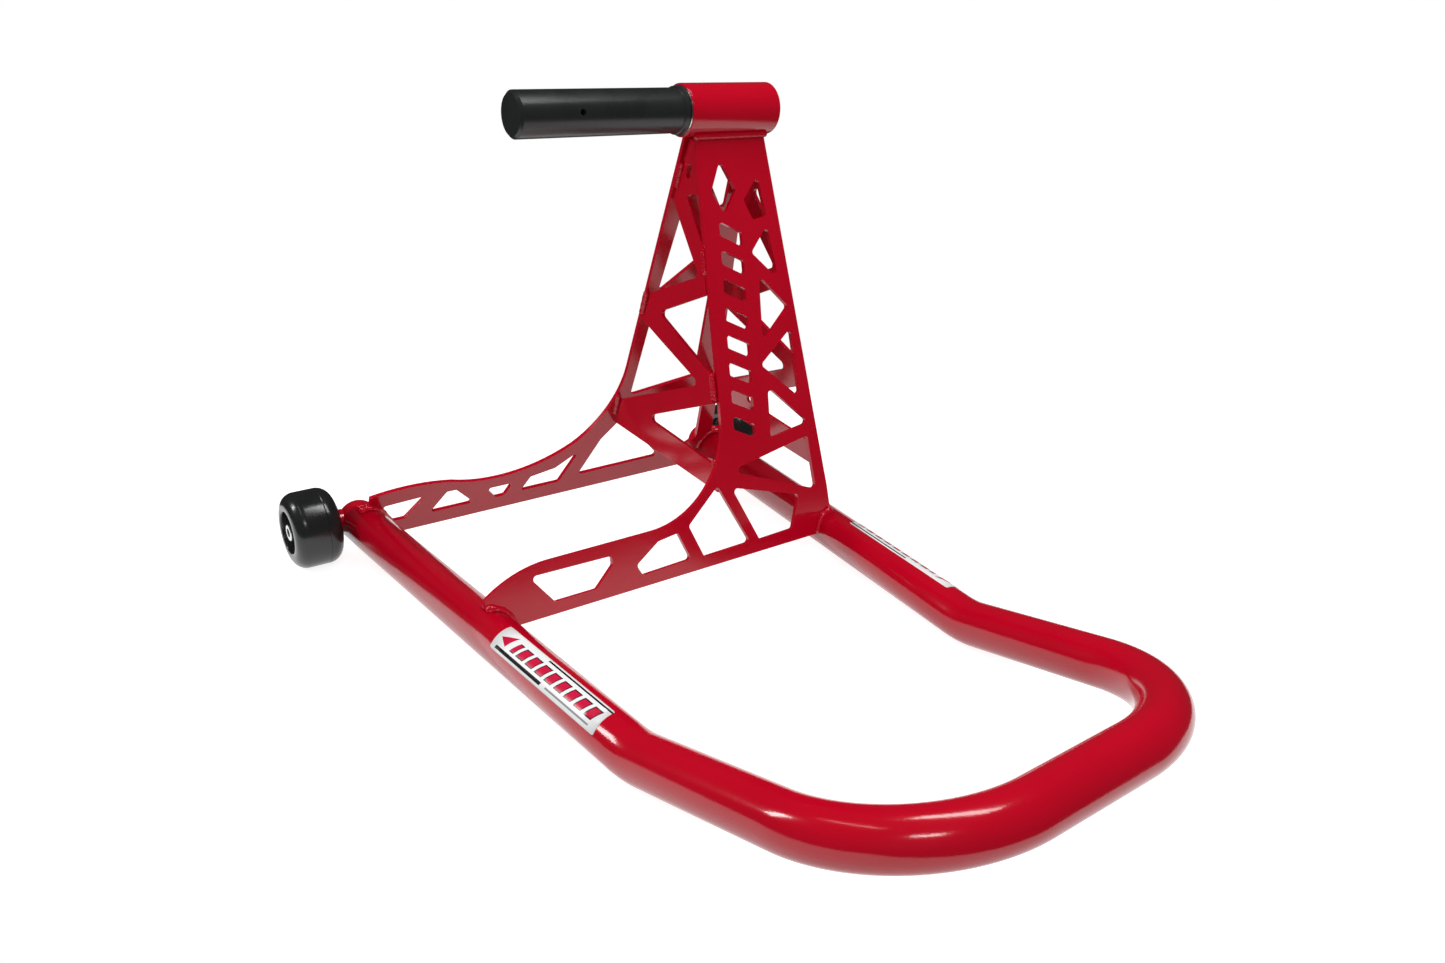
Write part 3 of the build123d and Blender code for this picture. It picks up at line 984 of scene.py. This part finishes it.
                    def route(share: float) -> Vector:
                        """Line where the plate's face meets the arm.

                        Args:
                            share: share of the way, from 0 to 1.

                        Returns:
                            The point on the line.
                        """
                        turn = radians(self.arm_first + (end - self.arm_first) * share)
                        out = inboard * cos(turn) + Vector((0, 0, 1)) * sin(turn)
                        spot = foot + out * (FrameTube.radius + self.arm_gap)
                        return spot + axis * (normal.dot(plane - spot) / normal.dot(axis))

                    self.bead(bm, route, FrameTube.radius * radians(end), self._arm_radius)
        self._piece("arm_weld_ripples", bm, "arm_weld_beads")

    def _on_lattices(self) -> None:
        """Short beads at the zigzag's nodes, up the inner face of each plate."""
        bm = bmesh.new()
        front, rear = self.leans()
        inner = self.front_x - self.thickness / cos(front)
        rows = (
            (self.rear_x, tan(rear), 1.0, self.rear_nodes),
            (inner, -tan(front), -1.0, self.front_nodes),
        )
        for foot_x, slope, away, nodes in rows:
            axis = Vector((slope, 0, 1)).normalized()
            for y, z in nodes:
                face_x = foot_x + z * slope
                middle = Vector((face_x + away * self.node_proud, y + self.node_shift, z))

                def route(share: float) -> Vector:
                    """Straight line up the plate's face."""
                    return middle + axis * (share - 0.5) * self.node_length

                self.bead(bm, route, self.node_length, lambda share: self.node_bead)
        self._piece("lattice_weld_ripples", bm, "lattice_weld_beads")


# ---- wheels ----
@dataclass
class Wheel:
    """Moulded wheel and its socket screw, on one side."""

    finishes: Finishes
    side: str
    axle_x: float = -42.0
    axle_z: float = 2.5
    facets: int = 112
    radius: float = 35.4
    inner_y: float = 221.7
    outer_y: float = 264.3
    shoulder: float = 12.0
    lip: float = 1.3
    recess_round: float = 1.0
    seat_round: float = 0.5
    dish_round: float = 1.4
    line_gap: float = 1.6
    line_half: float = 0.5
    line_depth: float = 0.35
    recess: float = 19.5
    seat: float = 13.0
    bore: float = 8.5
    floor_in: float = 229.7
    seat_in: float = 237.7
    seat_out: float = 244.3
    floor_out: float = 252.3
    screw_start: float = 253.8
    head_radius: float = 8.0
    head_length: float = 9.6
    head_chamfer: float = 0.9
    chamfer_in: float = 0.15
    chamfer_down: float = 0.5
    knurl_end: float = 1.1
    neck: float = 0.35
    neck_end: float = 0.6
    teeth: int = 48
    groove: float = 0.965
    socket_flats: float = 8.0
    socket_depth: float = 5.5
    shank: float = 5.0
    shank_end: float = 189.5

    def _place(self) -> Matrix:
        """Frame of the axle, mirrored for the left side."""
        mirror = Matrix.Diagonal((1.0, SIDES[self.side], 1.0, 1.0))
        return SETTLE @ mirror @ Matrix.Translation((self.axle_x, 0.0, self.axle_z))

    def build(self) -> None:
        """Make the wheel and the screw, and finish the bearings."""
        self._tread()
        self._screw()
        shiny = ["bearing_outer_races_", "bearing_inner_races_", "bearing_balls_"]
        dress([name + self.side for name in shiny], self.finishes.bright)
        dress(["axle_spacers_" + self.side, "axle_washer_" + self.side], self.finishes.zinc)
        dress(["bearing_shields_" + self.side], self.finishes.rubber)

    def _tread(self) -> None:
        """Wheel by one turn of its section, with a mould line inside the inner shoulder."""
        line_y = self.inner_y + self.shoulder + self.line_gap
        profile = [
            (self.recess, self.outer_y, self.lip),
            (self.radius, self.outer_y, self.shoulder),
            (self.radius, line_y + self.line_half, 0.0),
            (self.radius - self.line_depth, line_y, 0.0),
            (self.radius, line_y - self.line_half, 0.0),
            (self.radius, self.inner_y, self.shoulder),
            (self.recess, self.inner_y, self.lip),
            (self.recess, self.floor_in, self.recess_round),
            (self.seat, self.floor_in, 0.0),
            (self.seat, self.seat_in, 0.0),
            (self.bore, self.seat_in, 0.0),
            (self.bore, self.seat_out, 0.0),
            (self.seat, self.seat_out, 0.0),
            (self.seat, self.floor_out, self.seat_round),
            (self.recess, self.floor_out, self.dish_round),
        ]
        bm = bmesh.new()
        spin_about_y(bm, profile, self.facets)
        body = Body.WHEEL_LEFT if self.side == "left" else Body.WHEEL_RIGHT
        plastic = self.finishes.plastic
        name = "wheel_moulded_" + self.side
        Piece(name, body, "wheel_plastic", plastic, ("wheel_" + self.side,)).make(bm, self._place())

    def _head_face(self, bm: bmesh.types.BMesh, top: float) -> tuple[list, list]:
        """Flat end of the screw's head, with its hexagon hole.

        Args:
            bm: mesh to add to.
            top: the face's y.

        Returns:
            The edges of the hole and of the rim.
        """
        place = Matrix.Translation((0, top, 0)) @ Matrix.Rotation(pi / 2, 4, "X")
        hole = circle_edges(bm, 6, self.socket_flats / 2 / cos(pi / 6), place)
        bmesh.ops.subdivide_edges(bm, edges=hole, cuts=self.teeth // 6 - 1)
        hole = bm.edges[:]
        rim = circle_edges(bm, self.teeth, self.head_radius - self.head_chamfer, place)
        bmesh.ops.bridge_loops(bm, edges=hole + rim)
        return hole, rim

    def _screw(self) -> None:
        """Socket head screw: knurled head, hexagon socket and shank."""
        bm = bmesh.new()
        top = self.screw_start + self.head_length
        hole, outer = self._head_face(bm, top)
        neck = self.head_radius - self.neck
        levels = (
            (self.head_radius - self.chamfer_in, -self.chamfer_down, False),
            (self.head_radius, -self.head_chamfer, True),
            (self.head_radius, self.knurl_end - self.head_length, True),
            (neck, self.neck_end - self.head_length, False),
            (neck, -self.head_length, False),
            (self.shank, -self.head_length, False),
            (self.shank, self.shank_end - top, False),
        )
        reach = self.head_radius - self.head_chamfer
        height = 0.0
        for radius, drop, knurled in levels:
            verts, outer = extrude_ring(bm, outer)
            share = radius / reach
            bmesh.ops.scale(bm, verts=verts, vec=(share, 1.0, share))
            bmesh.ops.translate(bm, verts=verts, vec=(0.0, drop - height, 0.0))
            if knurled:
                grooves = self._round_order(verts)[1::2]
                bmesh.ops.scale(bm, verts=grooves, vec=(self.groove, 1.0, self.groove))
            reach, height = radius, drop
        bmesh.ops.holes_fill(bm, edges=outer, sides=0)
        verts, hole = extrude_ring(bm, hole)
        bmesh.ops.translate(bm, verts=verts, vec=(0.0, -self.socket_depth, 0.0))
        bmesh.ops.holes_fill(bm, edges=hole, sides=0)
        name, zinc = "socket_screw_" + self.side, self.finishes.zinc
        screw = Piece(name, Body.FRAME, "zinc_steel", zinc, ("axle_screw_" + self.side,), 25.0)
        screw.make(bm, self._place())

    @staticmethod
    def _round_order(verts: list) -> list:
        """Ring's vertices in order round the Y axis."""
        return sorted(verts, key=lambda v: Vector((v.co.x, v.co.z)).angle_signed(Vector((1, 0))))


# ---- boss and lift pin ----
@dataclass
class LiftPin:
    """Boss, sleeve, black pin and its inner fixings."""

    finishes: Finishes

    def build(self) -> None:
        """Finish the turned pieces."""
        dress(["boss_tube"], self.finishes.paint)
        dress(["pin_sleeve"], self.finishes.bright)
        dress(["lift_pin"], self.finishes.pin)
        dress(["pin_washer", "pin_screw"], self.finishes.zinc)


# ---- labels ----
@dataclass
class ArmLabels:
    """Thin printed films wrapped over the arms."""

    finishes: Finishes
    start_x: float = 228.0
    length: float = 136.0
    thickness: float = 0.25
    inboard: float = -6.0
    outboard: float = 65.0
    steps: int = 22
    length_cuts: int = 7
    corner: float = 3.0
    corner_steps: int = 4

    def build(self) -> None:
        """Make both films."""
        for name, side in SIDES.items():
            self._film(name, side)

    def _bent_sheet(self, bm: bmesh.types.BMesh, side: int) -> None:
        """Spin one long edge part of the way round the arm and round the sheet's corners.

        Args:
            bm: mesh to add to.
            side: -1 for the left arm, 1 for the right.
        """
        lean = Matrix.Rotation(radians(-side * self.inboard), 3, "X")
        first = lean @ Vector((0.0, 0.0, FrameTube.radius))
        ends = [bm.verts.new(first), bm.verts.new(first + Vector((self.length, 0.0, 0.0)))]
        edge = bm.edges.new(ends)
        bmesh.ops.subdivide_edges(bm, edges=[edge], cuts=self.length_cuts)
        bmesh.ops.spin(
            bm,
            geom=bm.verts[:] + bm.edges[:],
            cent=(0.0, 0.0, 0.0),
            axis=(-side, 0.0, 0.0),
            angle=radians(self.outboard - self.inboard),
            steps=self.steps,
        )
        bmesh.ops.bevel(
            bm,
            geom=[vert for vert in bm.verts if len(vert.link_edges) == 2],
            offset=self.corner,
            offset_type="OFFSET",
            affect="VERTICES",
            segments=self.corner_steps,
            profile=0.5,
            material=-1,
            clamp_overlap=False,
        )
        bmesh.ops.recalc_face_normals(bm, faces=bm.faces[:])
        if sum(face.normal.dot(face.calc_center_median()) for face in bm.faces) < 0:
            bmesh.ops.reverse_faces(bm, faces=bm.faces[:])

    def _lay_print(self, bm: bmesh.types.BMesh, side: int) -> None:
        """Map the print, so that it reads from outboard on both arms.

        Args:
            bm: the bent sheet.
            side: -1 for the left arm, 1 for the right.
        """
        layer = bm.loops.layers.uv.new("film")
        for loop in (loop for face in bm.faces for loop in face.loops):
            co = loop.vert.co
            angle = acos(max(-1.0, min(1.0, co.z / FrameTube.radius)))
            angle = angle if side * co.y > 0 else -angle
            along = co.x / self.length
            across = (radians(self.outboard) - angle) / radians(self.outboard - self.inboard)
            loop[layer].uv = (along if side < 0 else 1.0 - along, across)

    def _film(self, name: str, side: int) -> None:
        """Make one film.

        Args:
            name: left or right.
            side: -1 for the left arm, 1 for the right.
        """
        bm = bmesh.new()
        self._bent_sheet(bm, side)
        self._lay_print(bm, side)
        foot = Matrix.Translation((self.start_x, side * arm_y(self.start_x), 0.0))
        place = SETTLE @ foot @ Matrix.Rotation(-side * radians(FrameTube.splay), 4, "Z")
        film = self.finishes.film
        piece = Piece("arm_film_" + name, Body.FRAME, "label_film", film, ("label_" + name,))
        skin = piece.make(bm, place, recalc=False).modifiers.new("film_thickness", "SOLIDIFY")
        skin.thickness = self.thickness * MM
        skin.offset = 1.0


# ---- studio ----
@dataclass(frozen=True)
class SoftBox:
    """One square or strip light, in metres and watts."""

    name: str
    place: tuple[float, float, float]
    aim: tuple[float, float, float]
    size: tuple[float, float]
    power: float
    in_gloss: bool

    def build(self) -> None:
        """Hang the light."""
        data = bpy.data.lights.new(self.name, "AREA")
        data.shape = "RECTANGLE"
        data.size, data.size_y = self.size
        data.energy = self.power
        lamp = bpy.data.objects.new(self.name, data)
        lamp.location = self.place
        aim = Vector(self.aim) - Vector(self.place)
        lamp.rotation_euler = aim.to_track_quat("-Z", "Y").to_euler()
        lamp.visible_glossy = self.in_gloss
        lamp.visible_camera = False
        bpy.context.scene.collection.objects.link(lamp)


SOFT_BOXES = (
    SoftBox("overhead", (0.2, -0.3, 2.6), (0.0, 0.0, 0.1), (2.4, 2.4), 5.0, False),
    SoftBox("front_fill", (1.9, -1.9, 1.3), (0.0, 0.0, 0.1), (1.8, 1.8), 4.0, False),
    SoftBox("streak_front", (0.15, 0.25, 1.5), (0.3, -0.1, 0.05), (0.8, 0.24), 8.0, True),
    SoftBox("streak_side", (1.3, -0.9, 1.5), (0.3, 0.0, 0.05), (0.5, 0.2), 5.0, True),
    SoftBox("streak_wheel", (-0.95, -1.25, 0.95), (-0.3, -0.25, 0.03), (0.2, 0.5), 7.0, True),
    SoftBox("streak_top", (-0.2, -0.8, 1.6), (-0.2, 0.1, 0.4), (0.9, 0.05), 1.2, True),
)


@dataclass
class Studio:
    """Floor, lights, surroundings and camera."""

    finishes: Finishes
    near_floor: float = 0.5
    far_floor: float = 60.0
    camera_place: tuple[float, float, float] = (632.999, -498.764, 487.458)
    camera_target: tuple[float, float, float] = (2.857, -19.726, 150.0)
    camera_roll: float = 2.137
    lens: float = 27.717
    sensor: float = 36.0
    clip: tuple[float, float] = (0.02, 500.0)
    surround: float = 0.50
    surround_in_gloss: float = 0.03
    surround_seen: float = 1.0

    def build(self) -> None:
        """Set up the studio."""
        self._floor()
        self._world()
        self._camera()
        for box in SOFT_BOXES:
            box.build()
        bpy.context.scene.view_settings.view_transform = "Standard"

    def _floor(self) -> None:
        """White table that shows in the gloss, and a wide floor round it that doesn't."""
        self._sheet("floor_near", self.near_floor, 0.0)
        self._sheet("floor_far", self.far_floor, self.near_floor).visible_glossy = False

    def _sheet(self, name: str, half: float, hole: float) -> bpy.types.Object:
        """Lay one square sheet.

        Args:
            name: the sheet's name.
            half: half of its side.
            hole: half of the side of the hole in its middle, or 0 for none.

        Returns:
            The sheet's object.
        """
        bm = bmesh.new()
        bmesh.ops.create_grid(bm, x_segments=1, y_segments=1, size=half)
        if hole:
            bmesh.ops.inset_region(bm, faces=bm.faces[:], thickness=half - hole)
            middle = min(bm.faces, key=lambda face: face.calc_center_median().length)
            bmesh.ops.delete(bm, geom=[middle], context="FACES_ONLY")
        mesh = bpy.data.meshes.new(name)
        bm.to_mesh(mesh)
        bm.free()
        mesh.materials.append(self.finishes.floor)
        sheet = bpy.data.objects.new(name, mesh)
        bpy.context.scene.collection.objects.link(sheet)
        sheet.visible_diffuse = False
        return sheet

    def _world(self) -> None:
        """Even soft light from all round, nearly dark in reflections."""
        world = bpy.data.worlds.new("studio")
        bpy.context.scene.world = world
        world.use_nodes = True
        tree = world.node_tree
        path = tree.nodes.new("ShaderNodeLightPath")
        low, high = MIX_NUMBERS
        gloss = tree.nodes.new("ShaderNodeMix")
        gloss.inputs[low].default_value = self.surround
        gloss.inputs[high].default_value = self.surround_in_gloss
        seen = tree.nodes.new("ShaderNodeMix")
        seen.inputs[high].default_value = self.surround_seen
        tree.links.new(path.outputs["Is Glossy Ray"], gloss.inputs[MIX_FACTOR])
        tree.links.new(path.outputs["Is Camera Ray"], seen.inputs[MIX_FACTOR])
        tree.links.new(gloss.outputs[0], seen.inputs[low])
        sky = tree.nodes["Background"]
        sky.inputs["Color"].default_value = grey(1.0)
        tree.links.new(seen.outputs[0], sky.inputs["Strength"])

    def _camera(self) -> None:
        """Camera that looks down over the bow at the whole stand."""
        place = Vector(self.camera_place) * MM
        ahead = (Vector(self.camera_target) * MM - place).normalized()
        level = ahead.cross(Vector((0.0, 0.0, 1.0))).normalized()
        roll = radians(self.camera_roll)
        right = level * cos(roll) + level.cross(ahead) * sin(roll)
        back = -ahead
        turn = Matrix((right, back.cross(right), back)).transposed().to_4x4()
        data = bpy.data.cameras.new("camera")
        data.sensor_width = self.sensor
        data.lens = self.lens
        data.clip_start, data.clip_end = self.clip
        camera = bpy.data.objects.new("camera", data)
        camera.matrix_world = Matrix.Translation(place) @ turn
        bpy.context.scene.collection.objects.link(camera)
        bpy.context.scene.camera = camera


def main() -> None:
    """Build the stand and its studio."""
    finishes = Finishes()
    Studio(finishes).build()
    FrameTube(finishes).build()
    CutPlates(finishes).build()
    WeldBeads(finishes).build()
    LiftPin(finishes).build()
    ArmLabels(finishes).build()
    for side in SIDES:
        Wheel(finishes, side).build()


if __name__ == "__main__":
    main()
